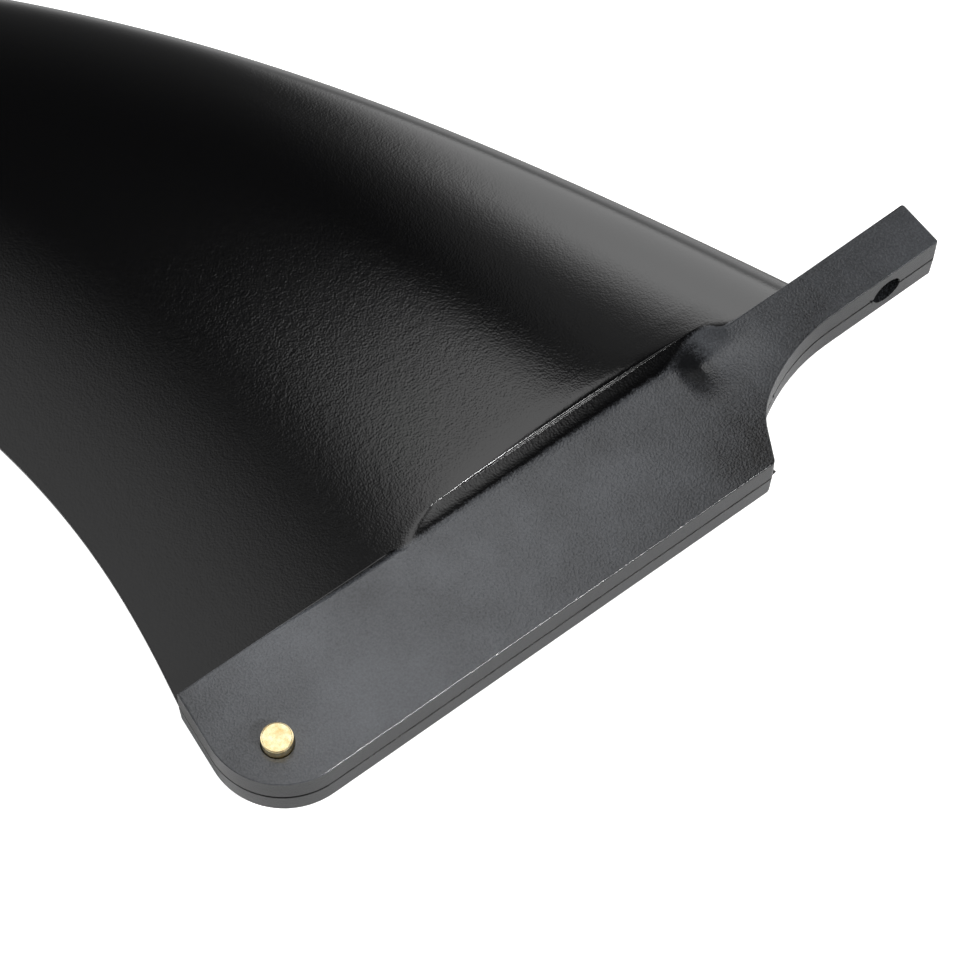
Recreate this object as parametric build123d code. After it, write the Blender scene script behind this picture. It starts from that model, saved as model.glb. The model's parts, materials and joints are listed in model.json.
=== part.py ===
from build123d import *
import os
from math import atan2, comb, cos, hypot, pi, radians, sin, sqrt, tan

# Paddleboard fin, in millimetres, lying on its side as it comes to rest.
# X runs along the base towards the screw tongue, Y from the base towards the tip, Z across the fin.
# The origin is on the screw hole's axis, at the root line, where the fin meets the board's bottom,
# and on the mid-plane, where the mould parts.

# Base slab, which drops into the board's slot box
base_thickness = 9.4
base_depth = 22.8
screw_to_heel = 126.6
heel_lean = 5.5
heel_radius = 12.0
base_edge_radius = 0.35
side_draft = 1.2

# Tongue with the screw hole, and the notch under it
tongue_depth = 8.7
tongue_rise = 0.35
screw_to_tongue_end = 10.0
tongue_corner_radius = 0.4
screw_hole_diameter = 5.2
screw_to_notch = 34.5
notch_lean = 28.0
notch_inner_radius = 12.0
notch_outer_radius = 31.0
notch_corner_radius = 1.2

# Brass cross pin through the heel
pin_diameter = 4.75
pin_stand_out = 2.1
pin_chamfer = 0.2
heel_to_pin = 7.2
bottom_to_pin = 8.0

# Blade outline from the side: two swept edges and a round tip
blade_depth = 176.0
screw_to_nose = 10.8
screw_to_tip_crest = 164.5
heel_to_trailing_root = 0.05
tip_radius = 9.0
tip_run_out = 36.0
trailing_root_rake = 11.0
trailing_hollow = 8.7

# Poles of the two edges' curves, as shares of their sweep and height
leading_pole_shares = ((0, 0), (0.263, 0.539), (0.364, 0.607), (0.720, 1), (1, 1))
trailing_pole_heights = (0.225, 0.395, 0.805)

# Foil section: thickness against chord, where it is thickest, and its blunt rear edge
root_foil_thickness = 12.4
tip_foil_ratio = 0.075
thickest_share = 0.37
trailing_edge_thickness = 1.0
tip_edge_thickness = 0.8
least_fullness = 1.15
rib_spans = 8
tip_rib_spreads = (48, 32, 14)

# Ledge where the foil stands proud of the slab, with a cove below it
ledge_above_root = 2.0
cove_below_root = 2.0
cove_rise = 0.4

half_thickness = base_thickness / 2
screw_to_trailing_root = screw_to_heel - heel_to_trailing_root
blade_foot = tongue_depth / 2
pin_length = base_thickness + 2 * pin_stand_out
pin_place = Pos(heel_to_pin - screw_to_heel, bottom_to_pin - base_depth)


def base_outline():
    """Side view of slab and tongue at the mid-plane, where the mould parts."""
    heel_top = (-screw_to_heel, 0)
    heel_foot = (-screw_to_heel - base_depth * tan(radians(heel_lean)), -base_depth)
    notch_foot = (-screw_to_notch, -base_depth)
    tongue_top = (screw_to_tongue_end, tongue_rise)
    tongue_end = (screw_to_tongue_end, tongue_rise - tongue_depth)

    # The notch climbs the slab's front edge, then two tangent arcs ease it out under the tongue
    steep = radians(90 - notch_lean)
    gentle = steep / 2
    outer_y = -tongue_depth - notch_outer_radius * (1 - cos(gentle))
    inner_y = outer_y - notch_inner_radius * (cos(gentle) - cos(steep))
    inner_x = -screw_to_notch + (inner_y + base_depth) / tan(steep)
    outer_x = inner_x + notch_inner_radius * (sin(steep) - sin(gentle))
    tongue_x = outer_x + notch_outer_radius * sin(gentle)
    outline = Line(notch_foot, (inner_x, inner_y))
    outline += TangentArc((inner_x, inner_y), (outer_x, outer_y), tangent=(cos(steep), sin(steep)))
    outline += TangentArc((outer_x, outer_y), (tongue_x, -tongue_depth), tangent=(cos(gentle), sin(gentle)))
    outline += Polyline((tongue_x, -tongue_depth), tongue_end, tongue_top,
                        (-screw_to_nose, 0), heel_top, heel_foot, notch_foot)
    face = make_face(outline)

    def corner_at(corner):
        return face.vertices().sort_by_distance(corner)[0]

    face = fillet(corner_at(heel_foot), heel_radius)
    face = fillet(corner_at(notch_foot), notch_corner_radius)
    return fillet([corner_at(tongue_top), corner_at(tongue_end)], tongue_corner_radius)


def base_slab():
    """Slab and tongue, drafted both ways from the parting line, with eased outer edges."""
    upper = extrude(base_outline(), amount=half_thickness, taper=side_draft)
    cheek = upper.faces().sort_by(Axis.Z)[-1]
    upper = fillet(cheek.edges(), base_edge_radius)
    return upper + mirror(upper, Plane.XY)


def bezier_point(poles, t):
    """Point at parameter t on the curve that a row of poles draws."""
    degree = len(poles) - 1
    weights = [comb(degree, i) * t ** i * (1 - t) ** (degree - i) for i in range(degree + 1)]
    return tuple(sum(w * pole[axis] for w, pole in zip(weights, poles)) for axis in (0, 1))


def leading_poles():
    """Leading edge: a long straight rise from the nose, then a sweep back to the tip's crest."""
    sweep = screw_to_tip_crest - screw_to_nose
    return [(-screw_to_nose - sweep * along, blade_depth * up) for along, up in leading_pole_shares]


def trailing_poles():
    """Trailing edge: a hollow curve from the heel up to where the tip's round runs out."""
    turn = radians(180 + tip_run_out)
    end_x = -screw_to_tip_crest + tip_radius * cos(turn)
    end_y = blade_depth - tip_radius + tip_radius * sin(turn)
    low, middle, high = [share * end_y for share in trailing_pole_heights]
    rake, lean = tan(radians(trailing_root_rake)), tan(radians(tip_run_out))
    return [(-screw_to_trailing_root, 0),
            (-screw_to_trailing_root + low * rake, low),
            (-screw_to_trailing_root + trailing_hollow, middle),
            (end_x + (end_y - high) * lean, high),
            (end_x, end_y)]


def rib(nose, tail, thickness, edge):
    """Symmetrical foil section on the chord from nose to tail: a quarter ellipse, then an easing tail."""
    run = (tail[0] - nose[0], tail[1] - nose[1])
    round_share = 4 / 3 * (sqrt(2) - 1)
    fall = 1 - edge / thickness
    front = [(0, 0), (0, round_share), (thickest_share * (1 - round_share), 1), (thickest_share, 1)]
    back = [(thickest_share + (1 - thickest_share) * step / 3, height)
            for step, height in enumerate((1, 1, 1 - fall / 2, 1 - fall))]

    def curve(poles, side):
        heights = [(share, side * height * thickness / 2) for share, height in poles]
        return Bezier(*[(nose[0] + share * run[0], nose[1] + share * run[1], z) for share, z in heights])

    skin = [curve(back[::-1], 1), curve(front[::-1], 1), curve(front, -1), curve(back, -1)]
    blunt = Line(skin[-1] @ 1, skin[0] @ 0)
    return make_face(skin + [blunt])


def rib_between(nose, tail, t):
    """Rib at share t of the way from root to tip, where the foil grows thinner for its chord."""
    chord = hypot(tail[0] - nose[0], tail[1] - nose[1])
    root_ratio = root_foil_thickness / (screw_to_trailing_root - screw_to_nose)
    edge = trailing_edge_thickness + (tip_edge_thickness - trailing_edge_thickness) * t
    thickness = chord * (root_ratio + (tip_foil_ratio - root_ratio) * t)
    return rib(nose, tail, max(thickness, edge * least_fullness), edge)


def blade():
    """Foil blade lofted through ribs from edge to edge, with a round tip and a foot inside the slab."""
    leading, trailing = leading_poles(), trailing_poles()
    shares = [step / rib_spans for step in range(rib_spans + 1)]
    ribs = [rib_between(bezier_point(leading, t), bezier_point(trailing, t), t) for t in shares]

    # Round the tip, the ribs close in from both edges on its furthest point
    furthest = (90 + 180 + tip_run_out) / 2
    tip_ribs = [ribs[-1]]
    for spread in tip_rib_spreads:
        nose, tail = [(-screw_to_tip_crest + tip_radius * cos(radians(angle)),
                       blade_depth - tip_radius + tip_radius * sin(radians(angle)))
                      for angle in (furthest - spread, furthest + spread)]
        tip_ribs.append(rib_between(nose, tail, 1))
    return loft(ribs) + loft(tip_ribs) + extrude(ribs[0], amount=blade_foot, dir=(0, -1, 0))


def ledge_cutter():
    """What the mould takes off the foil beside the slab: a hollow cove that ends in an upright ledge."""
    run = ledge_above_root + cove_below_root
    radius = (run ** 2 + cove_rise ** 2) / (2 * cove_rise)
    turn = atan2(run, radius - cove_rise)
    halfway = pi / 2 - turn / 2
    foot, top = (-cove_below_root, half_thickness), (ledge_above_root, half_thickness + cove_rise)
    middle = (foot[0] + radius * cos(halfway), half_thickness + radius - radius * sin(halfway))
    below, clear = -2 * blade_foot, half_thickness + root_foil_thickness
    profile = ThreePointArc(foot, middle, top)
    profile += Polyline(top, (ledge_above_root, clear), (below, clear), (below, half_thickness), foot)
    behind_heel = Plane.YZ.offset(-screw_to_heel - base_depth)
    return extrude(behind_heel * make_face(profile), amount=screw_to_heel + base_depth)


def fin_body():
    """One moulding: slab, tongue and blade, with the holes for the screw and the cross pin."""
    cutter = ledge_cutter()
    body = base_slab() + (blade() - cutter - mirror(cutter, Plane.XY))
    screw_hole = Plane.XZ * Cylinder(screw_hole_diameter / 2, 2 * base_depth)
    pin_hole = pin_place * Cylinder(pin_diameter / 2, pin_length)
    return body - screw_hole - pin_hole


def cross_pin():
    """Brass rod pressed through the heel, with chamfered ends that run in the box's grooves."""
    rod = Cylinder(pin_diameter / 2, pin_length)
    return pin_place * chamfer(rod.edges().filter_by(GeomType.CIRCLE), pin_chamfer)


os.makedirs("parts", exist_ok=True)
export_step(fin_body(), "parts/fin_body.step")
export_step(cross_pin(), "parts/cross_pin.step")
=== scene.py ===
import json
from math import cos, pi, radians, sin, tan

import bmesh
import bpy
from mathutils import Matrix, Vector


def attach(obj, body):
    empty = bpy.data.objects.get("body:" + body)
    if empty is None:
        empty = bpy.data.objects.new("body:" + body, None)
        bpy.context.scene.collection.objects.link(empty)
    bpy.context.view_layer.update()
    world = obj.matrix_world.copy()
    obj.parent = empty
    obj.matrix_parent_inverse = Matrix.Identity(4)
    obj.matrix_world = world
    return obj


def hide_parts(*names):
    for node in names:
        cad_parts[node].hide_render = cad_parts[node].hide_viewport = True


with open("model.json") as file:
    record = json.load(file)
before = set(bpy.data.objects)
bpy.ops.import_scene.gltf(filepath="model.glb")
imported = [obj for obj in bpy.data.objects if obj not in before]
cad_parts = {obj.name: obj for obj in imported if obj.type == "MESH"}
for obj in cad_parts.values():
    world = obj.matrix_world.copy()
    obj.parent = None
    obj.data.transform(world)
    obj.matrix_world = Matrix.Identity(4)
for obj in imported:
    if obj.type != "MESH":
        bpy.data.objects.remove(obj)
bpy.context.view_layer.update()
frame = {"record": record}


# The blade
# A swept, symmetrical foil, the main form of a one-piece moulding in black glass-filled nylon.
# It stands proud of the base along an upright ledge with a cove below, and closes in a round tip.

# Sizes are in millimetres until a mesh is made. X runs along the base towards the screw tongue,
# Y from the root line towards the tip, Z across the fin, with the mid-plane at 0.
MM = 0.001
blade_depth = 176.0
screw_to_nose = 10.8
screw_to_tip_crest = 164.5
screw_to_trailing_root = 126.55
tip_radius = 9.0
tip_run_out = 36.0
leading_pole_shares = ((0, 0), (0.263, 0.539), (0.364, 0.607), (0.720, 1), (1, 1))
trailing_pole_heights = (0.225, 0.395, 0.805)
trailing_root_rake = 11.0
trailing_hollow = 8.7
root_thickness = 12.4
half_slab = 4.7
ledge_height = 2.0
blade_foot = -4.0
first_whole_chord = 6.0
shoulder_top = 5.5
crest_share, hollow_share, drop_share = 0.8, 0.15, 0.15
cove_curve = 1.9
most_eased_share = 0.3
seam_tolerance = 0.0002

nose_columns, tail_columns, edge_columns = 32, 62, 5
cove_rows, hollow_rows, crest_rows, shoulder_rows, span_rows, tip_rows = 20, 5, 6, 12, 146, 16
shoulder_crowding = 1.6

nose_sweep = screw_to_tip_crest - screw_to_nose
leading_poles = [Vector((-screw_to_nose - nose_sweep * along, blade_depth * up, 0))
                 for along, up in leading_pole_shares]
tip_centre = Vector((-screw_to_tip_crest, blade_depth - tip_radius, 0))
run_out = radians(180 + tip_run_out)
tip_end = tip_centre + tip_radius * Vector((cos(run_out), sin(run_out), 0))
low_pole, middle_pole, high_pole = [share * tip_end.y for share in trailing_pole_heights]
trailing_poles = [
    Vector((-screw_to_trailing_root, 0, 0)),
    Vector((-screw_to_trailing_root + low_pole * tan(radians(trailing_root_rake)), low_pole, 0)),
    Vector((-screw_to_trailing_root + trailing_hollow, middle_pole, 0)),
    Vector((tip_end.x + (tip_end.y - high_pole) * tan(radians(tip_run_out)), high_pole, 0)),
    tip_end]


def share_at_height(poles, height, halvings=40):
    """How far along an edge's curve it has climbed to that height."""
    low, high = 0.0, 1.0
    for _ in range(halvings):
        share = (low + high) / 2
        points = poles
        while len(points) > 1:
            points = [a.lerp(b, share) for a, b in zip(points, points[1:])]
        low, high = (share, high) if points[0].y < height else (low, share)
    return low


class Reading:
    """A number read off at every point, so that a rule in a node tree is written as a plain sum."""

    def __init__(self, socket):
        self.socket = socket

    def __add__(self, other):
        return reckon("ADD", self, other)

    def __sub__(self, other):
        return reckon("SUBTRACT", self, other)

    def __rsub__(self, other):
        return reckon("SUBTRACT", other, self)

    def __mul__(self, other):
        return reckon("MULTIPLY", self, other)

    def __truediv__(self, other):
        return reckon("DIVIDE", self, other)

    __radd__ = __add__
    __rmul__ = __mul__


def feed(place, term):
    """Gives a node's input a reading, a link or a plain value."""
    source = term.socket if isinstance(term, Reading) else term
    if isinstance(source, bpy.types.NodeSocket):
        place.id_data.links.new(source, place)
    else:
        place.default_value = source


def reckon(operation, *terms):
    """One step of a sum, in the tree that its readings belong to."""
    tree = next(term for term in terms if isinstance(term, Reading)).socket.id_data
    step = tree.nodes.new("ShaderNodeMath")
    step.operation = operation
    for place, term in zip(step.inputs, terms):
        feed(place, term)
    return Reading(step.outputs[0])


def climb(value, start, end, eased=False):
    """0 up to start, 1 from end on, and an even or an eased climb in between."""
    step = value.socket.id_data.nodes.new("ShaderNodeMapRange")
    step.interpolation_type = "SMOOTHSTEP" if eased else "LINEAR"
    for place, term in zip(step.inputs, (value, start, end)):
        feed(place, term)
    return Reading(step.outputs[0])


def blend_points(start, end, share):
    """The point at that share of the way from one point to another."""
    tree = share.socket.id_data
    step = tree.nodes.new("ShaderNodeMix")
    step.data_type = "VECTOR"
    feed(step.inputs[0], share)
    feed(step.inputs[4], start)
    feed(step.inputs[5], end)
    return step.outputs[1]


def edge_point(poles, share):
    """The point at that share of the way along an edge's curve."""
    while len(poles) > 1:
        poles = [blend_points(a, b, share) for a, b in zip(poles, poles[1:])]
    return poles[0]


blade_sizes = {
    "Slab half thickness": half_slab,
    "Ledge height": ledge_height,
    "Blade foot": blade_foot,
    "First whole chord": first_whole_chord,
    "Leading start": share_at_height(leading_poles, first_whole_chord),
    "Trailing start": share_at_height(trailing_poles, first_whole_chord),
    "Root thickness ratio": root_thickness / (screw_to_trailing_root - screw_to_nose),
    "Tip thickness ratio": 0.075,
    "Thickest share": 0.37,
    "Trailing edge thickness": 1.0,
    "Tip edge thickness": 0.8,
    "Least fullness": 1.15,
    "Edge easing": 0.2,
    "Cove rise": 0.5,
    "Cove below root": 2.0,
    "Ledge crest radius": 0.25,
    "Ledge hollow radius": 0.22,
    "Ledge run-out": 0.15,
    "Shoulder top": shoulder_top,
    "Shoulder drop": 0.14,
    "Shoulder fade": 0.6,
    "Tip centre": tip_centre,
    "Tip radius": tip_radius,
    "Tip easing": 0.6,
}
for edge_name, poles in (("Leading", leading_poles), ("Trailing", trailing_poles)):
    for place, pole in enumerate(poles, 1):
        blade_sizes[f"{edge_name} pole {place}"] = pole

foil_rule = bpy.data.node_groups.new("swept_foil", "GeometryNodeTree")
foil_rule.interface.new_socket("Blade", in_out="OUTPUT", socket_type="NodeSocketGeometry")
socket_names = {}
for name, value in blade_sizes.items():
    kind = "NodeSocketVector" if isinstance(value, Vector) else "NodeSocketFloat"
    socket_names[name] = foil_rule.interface.new_socket(
        name, in_out="INPUT", socket_type=kind).identifier
given_sizes = foil_rule.nodes.new("NodeGroupInput")


def given(name):
    """One of the blade's named sizes, as a reading."""
    return Reading(given_sizes.outputs[name])


# Each point of the half skin knows its column, from nose to tail, and its row, from foot to tip
columns = nose_columns + tail_columns + edge_columns + 2
hollow_from = cove_rows + 1
crest_from = hollow_from + hollow_rows + 1
shoulder_from = crest_from + crest_rows
span_from = shoulder_from + shoulder_rows + 1
tip_from = span_from + span_rows
rows = tip_from + tip_rows + 1
point = Reading(foil_rule.nodes.new("GeometryNodeInputIndex").outputs[0])
column = reckon("FLOOR", (point + 0.5) / rows)
row = point - column * rows
quarter = pi / 2

# Rows beside the slab climb level, and the others join the same share of both edges
beside_slab = reckon("LESS_THAN", row, span_from - 0.5)
root_climb = climb(row, 1, hollow_from)
shoulder_climb = climb(row, shoulder_from, shoulder_from + shoulder_rows)
shoulder_climb = reckon("POWER", shoulder_climb, shoulder_crowding)
level = given("Blade foot") + (given("Ledge height") - given("Blade foot")) * root_climb
level = level + (given("Shoulder top") - given("Ledge height")) * shoulder_climb
reach = reckon("MAXIMUM", reckon("MAXIMUM", level, 0) / given("First whole chord"), 1 - beside_slab)
sweep = climb(row, span_from, tip_from)
chord_ends = []
for edge_name in ("Leading", "Trailing"):
    start = given(f"{edge_name} start")
    poles = [given(f"{edge_name} pole {place}").socket for place in range(1, len(leading_poles) + 1)]
    on_edge = edge_point(poles, start + (1 - start) * sweep)
    split = foil_rule.nodes.new("ShaderNodeSeparateXYZ")
    feed(split.inputs[0], blend_points(poles[0], on_edge, reach))
    chord_ends.append([Reading(split.outputs[0]),
                       Reading(split.outputs[1]) + reckon("MINIMUM", level, 0)])

# Round the tip, both ends of the chord run along the tip's circle until they meet
in_tip = reckon("GREATER_THAN", row, tip_from + 0.5)
furthest = (pi / 2 + run_out) / 2
spread = (run_out - furthest) * (1 - climb(row, tip_from, rows - 1))
centre_split = foil_rule.nodes.new("ShaderNodeSeparateXYZ")
feed(centre_split.inputs[0], given("Tip centre"))
for end, heading in zip(chord_ends, (furthest - spread, furthest + spread)):
    for axis, turn in enumerate(("COSINE", "SINE")):
        on_circle = Reading(centre_split.outputs[axis]) + given("Tip radius") * reckon(turn, heading)
        end[axis] = end[axis] + (on_circle - end[axis]) * in_tip
nose, tail = chord_ends
run_x, run_y = tail[0] - nose[0], tail[1] - nose[1]
chord = reckon("SQRT", run_x * run_x + run_y * run_y)

# Section: a quarter ellipse to the thickest place, then an easing tail to a blunt, eased edge
edge_thickness = given("Trailing edge thickness") + (
    given("Tip edge thickness") - given("Trailing edge thickness")) * sweep
ratio = given("Root thickness ratio") + (
    given("Tip thickness ratio") - given("Root thickness ratio")) * sweep
thickness = reckon("MAXIMUM", chord * ratio, edge_thickness * given("Least fullness"))
nose_turn = climb(column, 0, nose_columns) * quarter
tail_run = climb(column, nose_columns, nose_columns + tail_columns)
edge_turn = climb(column, nose_columns + tail_columns, columns - 2) * quarter
closing = reckon("GREATER_THAN", column, columns - 1.5)
thickest = given("Thickest share")
fall = 1 - edge_thickness / thickness
fullness = reckon("SINE", nose_turn) * (1 - fall * tail_run * tail_run * (1.5 - 0.5 * tail_run))
eased_share = reckon("MINIMUM", given("Edge easing") / chord, most_eased_share)
along = thickest * (1 - reckon("COSINE", nose_turn)) + (1 - thickest) * tail_run
along = along * (1 - eased_share) + eased_share * reckon("SINE", edge_turn)
tip_reach = given("Tip radius") * (1 - reckon("COSINE", spread)) / given("Tip easing")
tip_reach = reckon("MINIMUM", tip_reach, 1)
foil = thickness / 2 * fullness - given("Edge easing") * (1 - reckon("COSINE", edge_turn))
foil = foil * (1 - closing) * reckon("SQRT", tip_reach * (2 - tip_reach))

# Ledge: the cove ends in a small hollow, and the foil starts with a rounded crest and a soft shoulder.
# Each takes at most its share of what the foil stands over the slab, so the ledge dies out at both ends
over = reckon("MAXIMUM", foil - given("Slab half thickness") - given("Cove rise"), 0) * beside_slab
crest = reckon("MINIMUM", given("Ledge crest radius"), over * crest_share)
hollow = reckon("MINIMUM", given("Ledge hollow radius"), over * hollow_share)
drop = reckon("MINIMUM", given("Shoulder drop"), over * drop_share)
hollow_turn = climb(row, hollow_from, hollow_from + hollow_rows) * quarter
crest_turn = climb(row, crest_from, crest_from + crest_rows) * quarter
at_crest = reckon("GREATER_THAN", row, crest_from - 0.5)
shift = hollow * (reckon("SINE", hollow_turn) - root_climb) + crest * (
    1 - reckon("COSINE", crest_turn)) * (1 - shoulder_climb)
place_x = nose[0] + run_x * along
place_y = nose[1] + run_y * along + shift
off_ledge = (given("Ledge height") - place_y) / given("Shoulder fade")
cove_share = (reckon("MINIMUM", place_y, given("Ledge height") - hollow) + given("Cove below root")) / (
    given("Ledge height") + given("Cove below root"))
cove = given("Slab half thickness") + hollow * (1 - reckon("COSINE", hollow_turn))
cove = cove + given("Cove rise") * reckon("POWER", cove_share, cove_curve)
below_ledge = reckon("SMOOTH_MIN", foil, cove, given("Ledge run-out"))
above_ledge = foil - crest * (1 - reckon("SINE", crest_turn)) - drop * reckon("EXPONENT", off_ledge)
beside = below_ledge + (above_ledge - below_ledge) * at_crest
place_z = (foil + (beside - foil) * beside_slab) * reckon("GREATER_THAN", row, 0.5)

# The half skin is laid out, mirrored and closed round its edges
skin_grid = foil_rule.nodes.new("GeometryNodeMeshGrid")
skin_grid.inputs["Vertices X"].default_value = columns
skin_grid.inputs["Vertices Y"].default_value = rows
place = foil_rule.nodes.new("ShaderNodeCombineXYZ")
for axis, reading in enumerate((place_x, place_y, place_z)):
    feed(place.inputs[axis], reading * MM)
half_skin = foil_rule.nodes.new("GeometryNodeSetPosition")
feed(half_skin.inputs["Geometry"], skin_grid.outputs["Mesh"])
feed(half_skin.inputs["Position"], place.outputs[0])
other_half = foil_rule.nodes.new("GeometryNodeTransform")
other_half.inputs["Scale"].default_value = (1, 1, -1)
feed(other_half.inputs["Geometry"], half_skin.outputs[0])
turned_out = foil_rule.nodes.new("GeometryNodeFlipFaces")
feed(turned_out.inputs[0], other_half.outputs[0])
both_halves = foil_rule.nodes.new("GeometryNodeJoinGeometry")
feed(both_halves.inputs[0], half_skin.outputs[0])
feed(both_halves.inputs[0], turned_out.outputs[0])
closed = foil_rule.nodes.new("GeometryNodeMergeByDistance")
closed.inputs["Distance"].default_value = seam_tolerance * MM
feed(closed.inputs["Geometry"], both_halves.outputs[0])
realized = foil_rule.nodes.new("GeometryNodeRealizeInstances")
feed(realized.inputs[0], closed.outputs[0])
nylon = bpy.data.materials.new("moulded_nylon")
coloured = foil_rule.nodes.new("GeometryNodeSetMaterial")
coloured.inputs["Material"].default_value = nylon
feed(coloured.inputs["Geometry"], realized.outputs[0])
feed(foil_rule.nodes.new("NodeGroupOutput").inputs[0], coloured.outputs[0])


def add_object(name, mesh):
    """Puts a mesh into the scene under that name."""
    piece = bpy.data.objects.new(name, mesh)
    bpy.context.scene.collection.objects.link(piece)
    return piece


def finished_mesh(piece, name):
    """What an object's modifiers make of it, as a plain mesh."""
    seen = piece.evaluated_get(bpy.context.evaluated_depsgraph_get())
    mesh = bpy.data.meshes.new_from_object(seen)
    mesh.name = name
    return mesh


blade = add_object("blade_skin", bpy.data.meshes.new("blade_skin"))
foil_modifier = blade.modifiers.new("swept_foil", "NODES")
foil_modifier.node_group = foil_rule
for name, value in blade_sizes.items():
    foil_modifier[socket_names[name]] = value
blade_mesh = finished_mesh(blade, "blade_skin")
blade.modifiers.clear()
blade.data = blade_mesh


# The base slab with its tongue
# The other half of the same moulding: a flat-sided slab that fills the board's slot, a screw tongue,
# and a notch under it. Both sides are drafted from the mould's parting line, a fine groove all round.

slab_depth = 22.8
slab_draft = 1.2
slab_edge_radius = 0.25
parting_groove_width = 0.6
parting_groove_depth = 0.35
screw_to_heel = 126.6
heel_lean = 5.5
heel_radius = 12.0
screw_to_notch = 34.5
notch_lean = 28.0
notch_corner_radius = 1.2
notch_inner_radius = 12.0
notch_outer_radius = 31.0
tongue_depth = 8.7
tongue_rise = 0.35
screw_to_tongue_end = 10.0
tongue_corner_radius = 0.6
rear_edge_easing, rear_edge_fall, rear_edge_curve = 1.0, 0.12, 3
easing_ledge_end, easing_heel_end, easing_blend, easing_step = -86, -116, 24, 2
round_steps = 5
arc_step = radians(4)


def base_corners():
    """Corners of the base's side view, each with the radius that rounds it."""
    steep = radians(90 - notch_lean)
    gentle = steep / 2
    between_arcs = (notch_inner_radius + notch_outer_radius) * tan(gentle / 2)
    inner_y = -tongue_depth - between_arcs * sin(gentle)
    inner_x = -screw_to_notch + (inner_y + slab_depth) / tan(steep)
    outer_x = inner_x + between_arcs * cos(gentle)
    heel_foot = -screw_to_heel - slab_depth * tan(radians(heel_lean))
    return [((-screw_to_notch, -slab_depth), notch_corner_radius),
            ((inner_x, inner_y), notch_inner_radius),
            ((outer_x, -tongue_depth), notch_outer_radius),
            ((screw_to_tongue_end, tongue_rise - tongue_depth), tongue_corner_radius),
            ((screw_to_tongue_end, tongue_rise), tongue_corner_radius),
            ((-screw_to_nose, 0), 0),
            ((-screw_to_heel, 0), 0),
            ((heel_foot, -slab_depth), heel_radius)]


def rounded_outline(corners):
    """Points round a closed outline, with an arc at each corner that has a radius."""
    points = []
    for place, (corner, radius) in enumerate(corners):
        corner = Vector(corner)
        back = (Vector(corners[place - 1][0]) - corner).normalized()
        ahead = (Vector(corners[(place + 1) % len(corners)][0]) - corner).normalized()
        if not radius:
            points.append(corner)
            continue
        turn = pi - back.angle(ahead)
        start = corner + back * radius * tan(turn / 2)
        side = 1 if back.cross(ahead) < 0 else -1
        inward = Vector((back.y, -back.x)) * side
        middle = start + inward * radius
        steps = max(3, round(turn / arc_step))
        for step in range(steps + 1):
            swing = -side * turn * step / steps
            points.append(middle + Matrix.Rotation(-swing, 2) @ (start - middle))
    return points


def inward_steps(points):
    """For each point, the way it moves when the outline is drawn in by one unit."""
    steps = []
    for place, here in enumerate(points):
        came = (here - points[place - 1]).normalized()
        goes = (points[(place + 1) % len(points)] - here).normalized()
        left, right = Vector((-came.y, came.x)), Vector((-goes.y, goes.x))
        steps.append((left + right) / (1 + left.dot(right)))
    return steps


def slab_profile(easing):
    """Inset and height of the slab's drafted side, from its lower face to its upper one."""
    side_slope, shoulder = tan(radians(slab_draft)), half_slab - slab_edge_radius
    half = [(parting_groove_depth, 0), (parting_groove_width / 2 * side_slope, parting_groove_width / 2)]
    for step in range(round_steps + 1):
        turn = quarter * step / round_steps
        eased = (step / round_steps) ** rear_edge_curve
        half.append((shoulder * side_slope + slab_edge_radius * (1 - cos(turn)) + easing * eased,
                     shoulder + slab_edge_radius * sin(turn) - easing * rear_edge_fall * (1 - eased)))
    return [(inset, -height) for inset, height in half[:0:-1]] + half


# Behind the ledge's rear end the slab's edge falls more gently, and less again towards the heel
base_outline = rounded_outline(base_corners())
root_end = next(place for place, point in enumerate(base_outline) if point == Vector((-screw_to_heel, 0)))
root_easing = {x: 0.5 - 0.5 * cos(pi * min(1, (x - easing_heel_end) / easing_blend))
               for x in range(easing_ledge_end, easing_heel_end - 1, -easing_step)}
base_outline[root_end:root_end] = [Vector((x, 0)) for x in root_easing]
side_profiles = [slab_profile(rear_edge_easing * root_easing.get(round(point.x), 0) if point.y == 0 else 0)
                 for point in base_outline]
slab_form = bmesh.new()
rings = [[slab_form.verts.new((*((point + step * profile[ring][0]) * MM), profile[ring][1] * MM))
          for point, step, profile in zip(base_outline, inward_steps(base_outline), side_profiles)]
         for ring in range(len(side_profiles[0]))]
for lower, upper in zip(rings, rings[1:]):
    for place in range(len(lower)):
        slab_form.faces.new((lower[place - 1], lower[place], upper[place], upper[place - 1]))
slab_form.faces.new(rings[-1])
slab_form.faces.new(rings[0][::-1])
slab_mesh = bpy.data.meshes.new("base_slab")
slab_form.to_mesh(slab_mesh)
slab_form.free()
slab_mesh.materials.append(nylon)
slab = add_object("base_slab", slab_mesh)


# Holes for the screw and the cross pin
# The screw's clearance hole runs straight through the tongue, and the pin's hole through the heel.
# Both are left by core pins in the mould, and their mouths are very slightly eased.

mounts = {mount["name"]: mount for mount in frame["record"]["mounts"]}
screw_hole_radius = mounts["screw_hole"]["dims"]["r_mm"]
pin_radius = mounts["pin_end_upper"]["dims"]["r_mm"]
pin_x, pin_y = [value / MM for value in mounts["pin_end_upper"]["pos_m"][:2]]
pin_line_gap = 0.04
core_sides = 72


def lathe(name, profile, sides):
    """A closed turned form round Z, from pairs of radius and height, lowest first."""
    form = bmesh.new()
    turned = []
    for radius, height in profile:
        turned.append([form.verts.new((radius * cos(2 * pi * step / sides) * MM,
                                       radius * sin(2 * pi * step / sides) * MM, height * MM))
                       for step in range(sides)])
    for lower, upper in zip(turned, turned[1:]):
        for place in range(sides):
            form.faces.new((lower[place - 1], lower[place], upper[place], upper[place - 1]))
    form.faces.new(turned[-1])
    form.faces.new(turned[0][::-1])
    mesh = bpy.data.meshes.new(name)
    form.to_mesh(mesh)
    form.free()
    return mesh


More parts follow.
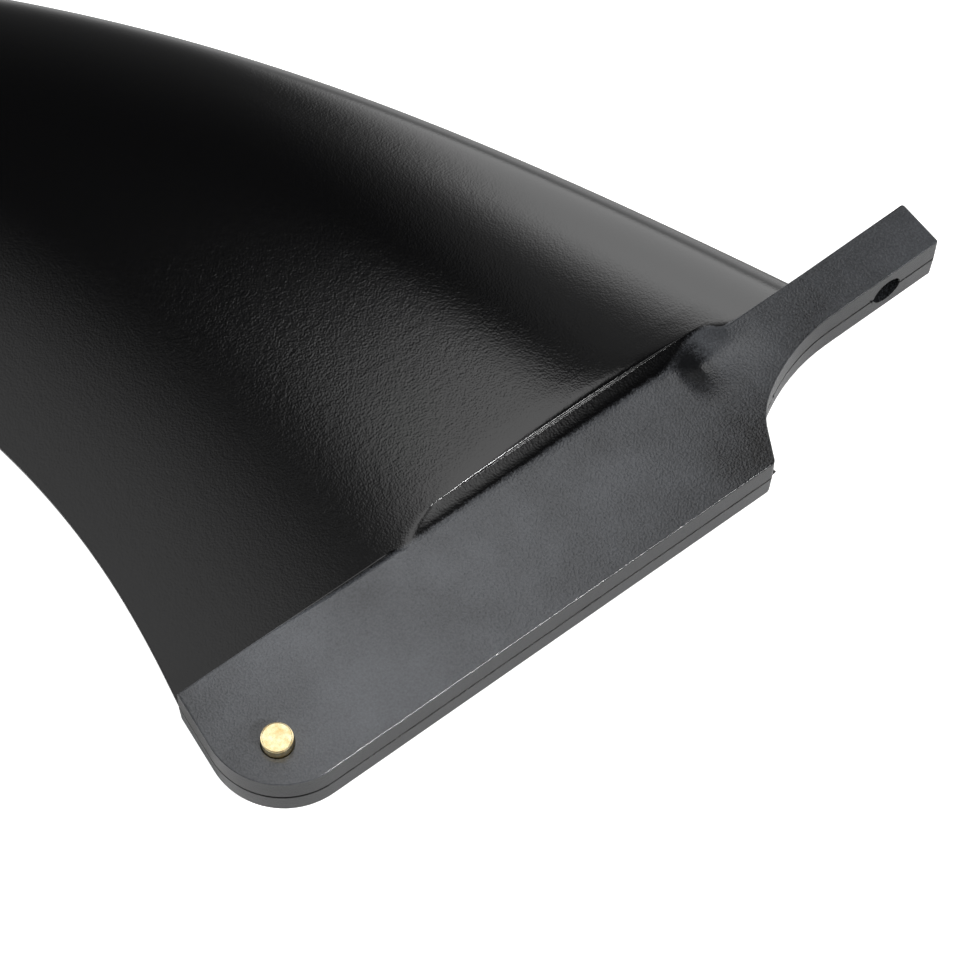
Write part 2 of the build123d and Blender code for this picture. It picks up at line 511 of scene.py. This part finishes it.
mouth, pin_mouth = 0.15, 0.12
clear = 3.0
hole_top, hole_foot = 0.18, tongue_rise - tongue_depth - 0.17
screw_core = lathe("screw_core", [
    (screw_hole_radius + clear, -hole_top - clear), (screw_hole_radius + mouth, -hole_top),
    (screw_hole_radius, -hole_top + mouth), (screw_hole_radius, -hole_foot - mouth),
    (screw_hole_radius + mouth, -hole_foot), (screw_hole_radius + clear, -hole_foot + clear)], core_sides)
screw_core.transform(Matrix.Rotation(pi / 2, 4, "X"))
pin_core_radius = pin_radius + pin_line_gap
pin_core = lathe("pin_core", [
    (pin_core_radius + clear, -half_slab - clear + pin_mouth), (pin_core_radius, -half_slab + pin_mouth),
    (pin_core_radius, half_slab - pin_mouth), (pin_core_radius + clear, half_slab + clear - pin_mouth)],
    core_sides)
pin_core.transform(Matrix.Translation((pin_x * MM, pin_y * MM, 0)))

for operation, partner in (("UNION", blade), ("DIFFERENCE", add_object("screw_core", screw_core)),
                           ("DIFFERENCE", add_object("pin_core", pin_core))):
    join = slab.modifiers.new(operation.lower(), "BOOLEAN")
    join.operation = operation
    join.object = partner
    join.solver = "EXACT"
fin_mesh = finished_mesh(slab, "fin_body")
for part in [step.object for step in slab.modifiers] + [slab]:
    bpy.data.objects.remove(part)

join_tolerance = 0.0005
crease_angle = radians(38)
fin_form = bmesh.new()
fin_form.from_mesh(fin_mesh)
bmesh.ops.remove_doubles(fin_form, verts=fin_form.verts, dist=join_tolerance * MM)

# Slivers of flash left on the parting line, each from end to end with its height and thickness
flash_slivers = (((-34.35, -22.5), (-33.75, -21.4), 0.55, 0.4),
                 ((-26.9, -12.75), (-24.4, -11.25), 0.22, 0.2),
                 ((3.3, -8.28), (4.5, -8.24), 0.22, 0.25),
                 ((-3.6, -8.5), (-2.7, -8.46), 0.28, 0.25))
sliver_peak_share, sliver_root = 0.4, 0.15
for start, end, height, thickness in flash_slivers:
    start, end = Vector(start), Vector(end)
    outward = Vector((end.y - start.y, start.x - end.x)).normalized()
    peak = start.lerp(end, sliver_peak_share) + outward * height
    sliver = [start - outward * sliver_root, peak, end - outward * sliver_root]
    faces = [[fin_form.verts.new((*(corner * MM), side * thickness / 2 * MM)) for corner in sliver]
             for side in (-1, 1)]
    fin_form.faces.new(faces[0][::-1])
    fin_form.faces.new(faces[1])
    for place in range(3):
        fin_form.faces.new((faces[0][place - 1], faces[0][place], faces[1][place], faces[1][place - 1]))
bmesh.ops.recalc_face_normals(fin_form, faces=fin_form.faces)
fin_form.to_mesh(fin_mesh)
fin_form.free()
fin_mesh.materials.clear()
fin_mesh.materials.append(nylon)
fin_mesh.polygons.foreach_set("material_index", [0] * len(fin_mesh.polygons))
fin_mesh.polygons.foreach_set("use_smooth", [True] * len(fin_mesh.polygons))
fin_mesh.set_sharp_from_angle(angle=crease_angle)
fin = add_object("moulded_fin", fin_mesh)
even_shade = fin.modifiers.new("even_shade", "WEIGHTED_NORMAL")
even_shade.mode = "FACE_AREA_WITH_ANGLE"
even_shade.keep_sharp = True
fin.data = finished_mesh(fin, "moulded_fin")
fin.modifiers.clear()
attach(fin, "root")
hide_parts("fin_body")


# The moulding's finish
# Black nylon: glossy with a fine orange peel on the blade, where the mould is polished, and satin on the
# spark-eroded base. Its colour is painted lighter towards the heel as painted light, and darker on the
# drafted sides as painted shade.

nylon.use_nodes = True
finish = nylon.node_tree
shader = finish.nodes["Principled BSDF"]
shader.inputs["IOR"].default_value = 1.6
polished_black, satin_grey = (0.0018, 0.0018, 0.0020, 1), (0.036, 0.038, 0.042, 1)
polished_roughness, satin_roughness = 0.09, 0.18
# The drafted sides get the darker tone as painted shade
painted_shade_side_tone, cheek_tone = 0.36, 0.72
peel_height, satin_grain_height, coarse_grain_height, dent_depth = 0.0075, 0.017, 0.005, 0.24
where = finish.nodes.new("ShaderNodeTexCoord").outputs["Object"]
where_split = finish.nodes.new("ShaderNodeSeparateXYZ")
feed(where_split.inputs[0], where)
along_base, up_blade, across = [Reading(output) / MM for output in where_split.outputs]


def grain(size, detail=2.0):
    """Uneven pattern round 0, with specks of about that size in millimetres."""
    speck = finish.nodes.new("ShaderNodeTexNoise")
    feed(speck.inputs["Vector"], where)
    speck.inputs["Scale"].default_value = 1 / (size * MM)
    speck.inputs["Detail"].default_value = detail
    return Reading(speck.outputs["Fac"]) - 0.5


fine_grain = grain(0.33, 1.0)
coarse_grain = grain(1.4)
clouds = grain(12.0)

# The satin reaches up to the root line, ends softly 0.8 mm below it beside the ledge, and laps 1.5 mm
# over it at the ledge's front end
rear_stretch = climb(along_base, -114.0, -90.0)
front_end = climb(along_base, -39.0, -30.5, eased=True)
past_front = climb(along_base, -28.5, -26.0, eased=True)
boundary = rear_stretch * (1 - front_end) * -0.8 + front_end * (1 - past_front) * 1.5
blur = 0.08 + rear_stretch * (1 - past_front) * 0.9
ragged = fine_grain * 0.8 + coarse_grain * 0.3
satin = climb(boundary - up_blade + ragged * blur, blur * -0.5, blur * 0.5, eased=True)

# Beside the ledge's front end the grain has been rubbed off in a soft patch
off_patch_x = (along_base + 34.4) / 3.4
off_patch_y = (up_blade + 2.4) / 6.4
off_patch = reckon("SQRT", off_patch_x * off_patch_x + off_patch_y * off_patch_y) + ragged * 0.9
rubbed = 1 - climb(off_patch, 0.2, 1.5, eased=True)
satin = satin * (1 - rubbed * 0.9)

# Painted shade darkens the parting line's groove and the drafted sides, so the flat cheeks are lighter.
# The cheeks are also darker towards the front and the lower edge
off_middle = reckon("ABSOLUTE", across)
# Painted shade in the groove: its colour is set to the polished black
painted_groove_shade = (1 - climb(off_middle, 0.26, 0.34)) * (1 - climb(up_blade, 0.3, 0.5))
on_cheek = climb(off_middle, 4.3, 4.6)
tone = finish.nodes.new("ShaderNodeMix")
tone.data_type = "RGBA"
tone.clamp_factor = False
# Painted light: the cheeks are made lighter towards the heel
painted_heel_light = climb(along_base, -126.0, -108.0) * (1 - climb(along_base, -106.0, -50.0)) * 0.75
darker = climb(along_base, -80.0, -30.0) * climb(up_blade * -1.0, 3.0, 20.0) * 0.5
# The satin's tone: painted shade on the drafted sides, painted light towards the heel, and cloudy tone
light_shade_and_clouds = painted_shade_side_tone + on_cheek * (cheek_tone + painted_heel_light - darker + clouds * 1.6)
feed(tone.inputs[0], satin * (1 - painted_groove_shade) * (light_shade_and_clouds + clouds * 0.5 + fine_grain * 1.4))
tone.inputs[6].default_value = polished_black
tone.inputs[7].default_value = satin_grey
feed(shader.inputs["Base Color"], tone.outputs[2])
feed(shader.inputs["Roughness"], polished_roughness + satin * (satin_roughness - polished_roughness))

# Orange peel and grain, and a slight dent in the slab under the rubbed patch
dent = climb(along_base, -37.5, -33.0, eased=True) * (1 - climb(along_base, -32.0, -21.0, eased=True))
dent = dent * climb(up_blade, -10.5, -3.5, eased=True) * (1 - climb(up_blade, -3.5, -0.1, eased=True))
relief = fine_grain * (peel_height + satin * satin_grain_height)
relief = relief + coarse_grain * coarse_grain_height - dent * dent_depth
surface = finish.nodes.new("ShaderNodeBump")
surface.inputs["Distance"].default_value = MM
feed(surface.inputs["Height"], relief)
feed(shader.inputs["Normal"], surface.outputs[0])


# The cross pin
# A bright drawn brass rod, faced and lightly chamfered, pressed through the heel.
# Its ends stand proud on both sides and run in the fin box's grooves.

pin_half_length = 6.8
pin_chamfer = 0.2
pin_sides = 96
pin_crease_angle = radians(20)
pin_face = [(0.35, 0.002), (1.1, 0.0), (pin_radius - 0.3, 0.0), (pin_radius - pin_chamfer - 0.05, 0.0),
            (pin_radius - pin_chamfer, 0.012), (pin_radius - 0.04, pin_chamfer - 0.05),
            (pin_radius, pin_chamfer + 0.03)]
pin_profile = [(radius, depth - pin_half_length) for radius, depth in pin_face]
pin_profile += [(radius, pin_half_length - depth) for radius, depth in pin_face[::-1]]
pin_mesh = lathe("cross_pin_rod", pin_profile, pin_sides)
pin_mesh.transform(Matrix.Translation((pin_x * MM, pin_y * MM, 0)))
pin_mesh.polygons.foreach_set("use_smooth", [True] * len(pin_mesh.polygons))
pin_mesh.set_sharp_from_angle(angle=pin_crease_angle)
brass = bpy.data.materials.new("drawn_brass")
pin_mesh.materials.append(brass)
pin = add_object("cross_pin_rod", pin_mesh)
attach(pin, "root")
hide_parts("cross_pin")

brass.use_nodes = True
turning = brass.node_tree
brass_shader = turning.nodes["Principled BSDF"]
brass_shader.inputs["Metallic"].default_value = 1.0
bright_brass, dull_brass = (0.92, 0.81, 0.52, 1), (0.78, 0.56, 0.24, 1)
face_marks, side_marks, mark_depth = 55.0, 31.0, 0.0008
tarnish_size = 0.9
pin_where = turning.nodes.new("ShaderNodeTexCoord").outputs["Object"]
centred = turning.nodes.new("ShaderNodeMapping")
centred.inputs["Location"].default_value = (-pin_x * MM, -pin_y * MM, 0)
feed(centred.inputs["Vector"], pin_where)
pin_split = turning.nodes.new("ShaderNodeSeparateXYZ")
feed(pin_split.inputs[0], centred.outputs[0])
off_x, off_y, off_z = [Reading(output) / MM for output in pin_split.outputs]
from_axis = reckon("SQRT", off_x * off_x + off_y * off_y)
tool_marks = reckon("SINE", from_axis * face_marks) * 0.5 + reckon("SINE", off_z * side_marks) * 0.5
tarnish = turning.nodes.new("ShaderNodeTexNoise")
feed(tarnish.inputs["Vector"], pin_where)
tarnish.inputs["Scale"].default_value = 1 / (tarnish_size * MM)
tarnish.inputs["Detail"].default_value = 4.0
brass_tone = turning.nodes.new("ShaderNodeMix")
brass_tone.data_type = "RGBA"
feed(brass_tone.inputs[0], climb(Reading(tarnish.outputs["Fac"]), 0.35, 0.75))
brass_tone.inputs[6].default_value = bright_brass
brass_tone.inputs[7].default_value = dull_brass
feed(brass_shader.inputs["Base Color"], brass_tone.outputs[2])
feed(brass_shader.inputs["Roughness"], 0.12 + Reading(tarnish.outputs["Fac"]) * 0.1)
marks = turning.nodes.new("ShaderNodeBump")
marks.inputs["Distance"].default_value = MM
feed(marks.inputs["Height"], tool_marks * mark_depth)
feed(brass_shader.inputs["Normal"], marks.outputs[0])


# The floor
# A plain white sheet, tilted so that the fin rests on it at the pin's end, the blade and the tip.

rest_points = [Vector((-119.4, -14.8, -6.8)), Vector((-52.0, 3.0, -6.2)), Vector((-165.0, 172.0, -0.55))]
sheet_up = (rest_points[1] - rest_points[0]).cross(rest_points[2] - rest_points[0]).normalized()
lowest = min(sheet_up.dot(vertex.co) for piece in (fin, pin) for vertex in piece.data.vertices)
turned = sheet_up.to_track_quat("Z", "Y").to_matrix().to_4x4()
sheet_reach = 6.0
floor_form = bmesh.new()
bmesh.ops.create_grid(floor_form, x_segments=1, y_segments=1, size=sheet_reach)
floor_form.transform(Matrix.Translation(sheet_up * lowest) @ turned)
floor_mesh = bpy.data.meshes.new("floor")
floor_form.to_mesh(floor_mesh)
floor_form.free()
paper = bpy.data.materials.new("white_sheet")
floor_mesh.materials.append(paper)
floor = add_object("floor", floor_mesh)

# To the camera the sheet is white all over. To the gloss it glows white only beyond the nose, and near the
# fin the glow is left out as a painted shade of the fin on the sheet, seen in reflections
paper.use_nodes = True
sheet_nodes = paper.node_tree
sheet_nodes.nodes.clear()
matt = sheet_nodes.nodes.new("ShaderNodeBsdfDiffuse")
paper_tone = 0.6
matt.inputs["Color"].default_value = (paper_tone, paper_tone, paper_tone, 1)
glow = sheet_nodes.nodes.new("ShaderNodeEmission")
ray = sheet_nodes.nodes.new("ShaderNodeLightPath")
seen_directly = Reading(ray.outputs["Is Camera Ray"])
seen_straight = reckon("MAXIMUM", seen_directly, reckon(
    "MAXIMUM", Reading(ray.outputs["Is Glossy Ray"]), Reading(ray.outputs["Is Transmission Ray"])))
sheet_split = sheet_nodes.nodes.new("ShaderNodeSeparateXYZ")
feed(sheet_split.inputs[0], sheet_nodes.nodes.new("ShaderNodeTexCoord").outputs["Object"])
beyond_nose = Reading(sheet_split.outputs[0]) * 0.79 + Reading(sheet_split.outputs[1]) * 0.61
# Painted shade: near the fin the sheet's glow in the gloss fades out
sheet_past_painted_shade = climb(beyond_nose / MM, 4.0, 40.0, eased=True)
feed(glow.inputs["Strength"], seen_straight * (0.02 + reckon("MAXIMUM", sheet_past_painted_shade, seen_directly) * 0.96))
both = sheet_nodes.nodes.new("ShaderNodeAddShader")
feed(both.inputs[0], matt.outputs[0])
feed(both.inputs[1], glow.outputs[0])
feed(sheet_nodes.nodes.new("ShaderNodeOutputMaterial").inputs["Surface"], both.outputs[0])


# The light
# A white studio, bright near the floor and dim overhead. A window beyond the nose draws the highlight
# down the blade, a strip overhead the patch beside it, and a tube lamp the line on the ledge's crest.

studio = bpy.data.worlds.new("studio")
bpy.context.scene.world = studio
studio.use_nodes = True
sky = studio.node_tree
sky.nodes.clear()
direction = sky.nodes.new("ShaderNodeTexCoord").outputs["Generated"]
sky_split = sky.nodes.new("ShaderNodeSeparateXYZ")
feed(sky_split.inputs[0], direction)
look_x, look_y, look_z = [Reading(output) for output in sky_split.outputs]
heading = reckon("ARCTAN2", look_y, look_x) * (180 / pi)
height = reckon("ARCSINE", look_z) * (180 / pi)


def panel(middle, half_width, foot, head, softness, strength):
    """A soft panel of light, placed by its heading and its height above the floor in degrees."""
    off_middle = reckon("WRAP", heading - middle, 180.0, -180.0)
    inside = 1 - climb(reckon("ABSOLUTE", off_middle), half_width - softness / 2,
                       half_width + softness / 2, eased=True)
    inside = inside * climb(height, foot - softness / 2, foot + softness / 2, eased=True)
    return inside * (1 - climb(height, head - softness / 2, head + softness / 2, eased=True)) * strength


horizon_band = 19.0
horizon = height / horizon_band
base_side = climb(look_y * -1.0, 0.2, 0.9, eased=True)
light = (2.25 - base_side * 0.7) * reckon("EXPONENT", horizon * horizon * -1.0) + 0.02
light = light + (1 - climb(height, 35.0, 52.0, eased=True)) * 0.12
light = light + panel(middle=24, half_width=22.6, foot=19, head=46, softness=8, strength=2.9)
light = light + panel(middle=24, half_width=27, foot=40, head=55, softness=6, strength=0.3)

# Overhead lights have straight edges on a ceiling, so they are placed by run over rise
rise = reckon("MAXIMUM", look_z, 0.05)
ceiling_x, ceiling_y = look_x / rise, look_y / rise
strip = climb(ceiling_y - ceiling_x * 0.8, -0.02, 0.10, eased=True)
strip = strip * (1 - climb(ceiling_y - ceiling_x * 0.33, 0.41, 0.44, eased=True))
strip_end = ceiling_x + ceiling_y * 0.75
strip = strip * (1 - climb(strip_end, 0.74, 0.82, eased=True)) * climb(ceiling_x, 0.08, 0.18, eased=True)
rear_sheet = 1 - climb(ceiling_x, -0.06, 0.12, eased=True)
rear_sheet = rear_sheet * climb(ceiling_y, 0.15, 0.30) * climb(height, 50.0, 56.0)
near_edge = ceiling_y + ceiling_x * 0.6
near_sheet = (1 - climb(ceiling_x, 0.24, 0.36, eased=True)) * (1 - climb(near_edge, 0.18, 0.33, eased=True))
near_sheet = near_sheet * climb(height, 60.0, 64.0)
light = light + strip * 2.1 + rear_sheet * 0.95 + near_sheet * 2.1

# The tube lamp is thin, and weaker towards its front end
lamp_fall = 1 - climb(heading, -77.0, -68.0) * 0.8
tube = panel(middle=-70, half_width=8.5, foot=39, head=43, softness=2, strength=340.0)
light = light + tube * lamp_fall
background = sky.nodes.new("ShaderNodeBackground")
sky_ray = Reading(sky.nodes.new("ShaderNodeLightPath").outputs["Is Camera Ray"])
feed(background.inputs["Strength"], light + (1 - light) * sky_ray)
feed(sky.nodes.new("ShaderNodeOutputWorld").inputs["Surface"], background.outputs[0])


# The camera
# Above the heel's side, looking along the blade's sweep, with the tip beyond the frame.

eye = bpy.data.cameras.new("camera")
eye.sensor_width = 36.0
eye.sensor_fit = "HORIZONTAL"
eye.lens = 118.08
eye.clip_start = 0.01
camera = bpy.data.objects.new("camera", eye)
bpy.context.scene.collection.objects.link(camera)
right, up, back = ((0.79716, -0.60367, 0.01060), (0.53486, 0.71422, 0.45145), (-0.28010, -0.35421, 0.89223))
stand_point = Vector((-201.42, -163.24, 418.98))
camera.matrix_world = Matrix.Translation(stand_point * MM) @ Matrix((right, up, back)).transposed().to_4x4()
bpy.context.scene.camera = camera
bpy.context.scene.view_settings.view_transform = "Standard"
